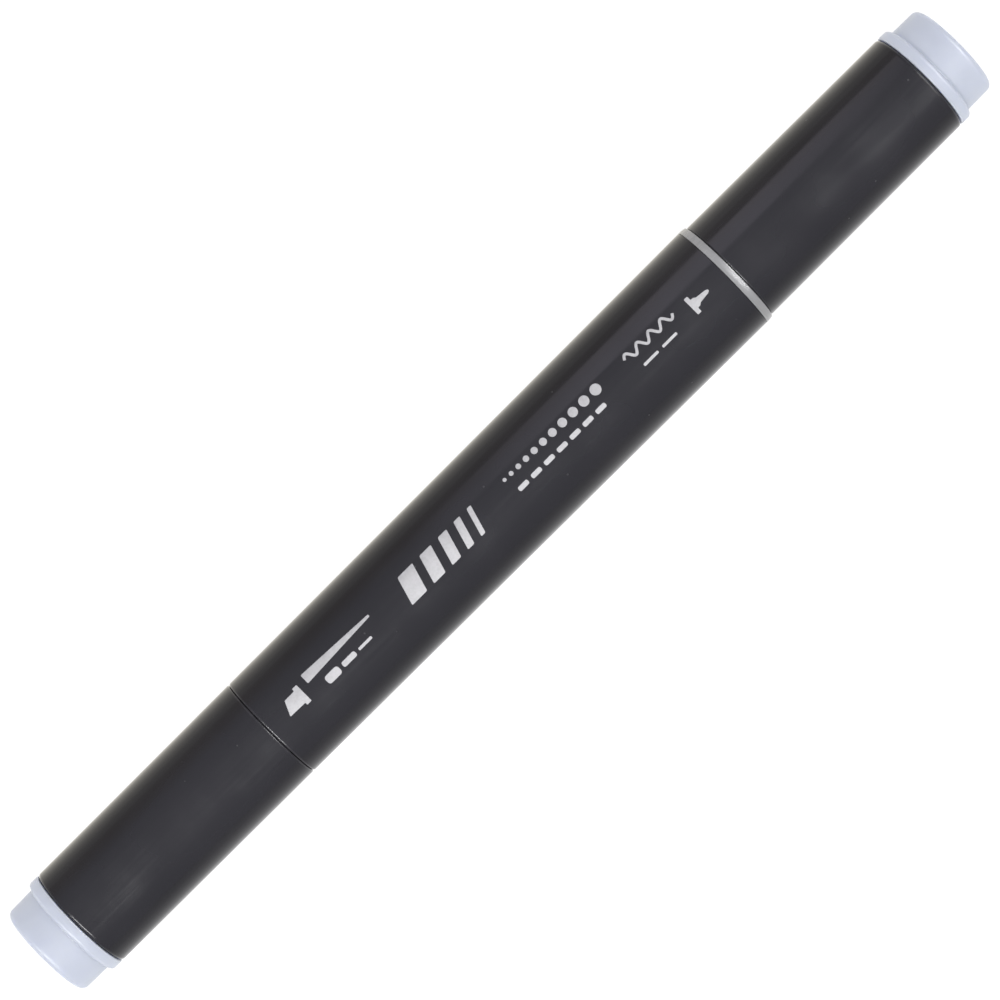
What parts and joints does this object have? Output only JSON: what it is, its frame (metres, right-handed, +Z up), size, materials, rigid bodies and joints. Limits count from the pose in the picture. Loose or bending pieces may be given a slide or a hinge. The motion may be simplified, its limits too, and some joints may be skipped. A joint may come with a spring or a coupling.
{
  "type": "felt tip marker",
  "caption": "Round black felt tip marker with a chisel nib at one end and a fine nib at the other, each under a pull-off cap with a pale end plug; a grey ring marks the fine end.",
  "frame": {"origin": "on the surface that the marker lies on, under the middle of its length", "axes": "+X along the marker's axis from the chisel end to the fine end, +Z up out of the printed side, +Y to the left of +X"},
  "size_m": [0.15, 0.0146, 0.0146],
  "materials": {
    "black_plastic": "smooth, satin to gloss",
    "section_grey": "satin",
    "plug_tint": "satin, faintly see-through",
    "liner_natural": "natural, milky",
    "nib_felt": "pressed fibre, inked",
    "reservoir_fibre": "bonded fibre, inked",
    "reservoir_film": "clear film",
    "print_ink": "screen-printed marks on the barrel"
  },
  "bodies": {
    "barrel": {"barrel": "black_plastic", "reservoir_fibre": "reservoir_fibre", "reservoir_film": "reservoir_film", "chisel_section": "section_grey", "chisel_nib": "nib_felt", "fine_section": "section_grey", "fine_nib": "nib_felt"},
    "chisel_cap": {"chisel_cap_shell": "black_plastic", "chisel_inner_cap": "liner_natural", "chisel_cap_plug": "plug_tint"},
    "fine_cap": {"fine_cap_shell": "black_plastic", "fine_inner_cap": "liner_natural", "fine_cap_plug": "plug_tint"}
  },
  "joints": [
    {"name": "chisel_cap_slide", "type": "slide", "parent": "barrel", "child": "chisel_cap", "axis": [-1, 0, 0], "range_m": [0, 0.04]},
    {"name": "fine_cap_slide", "type": "slide", "parent": "barrel", "child": "fine_cap", "axis": [1, 0, 0], "range_m": [0, 0.04]}
  ]
}
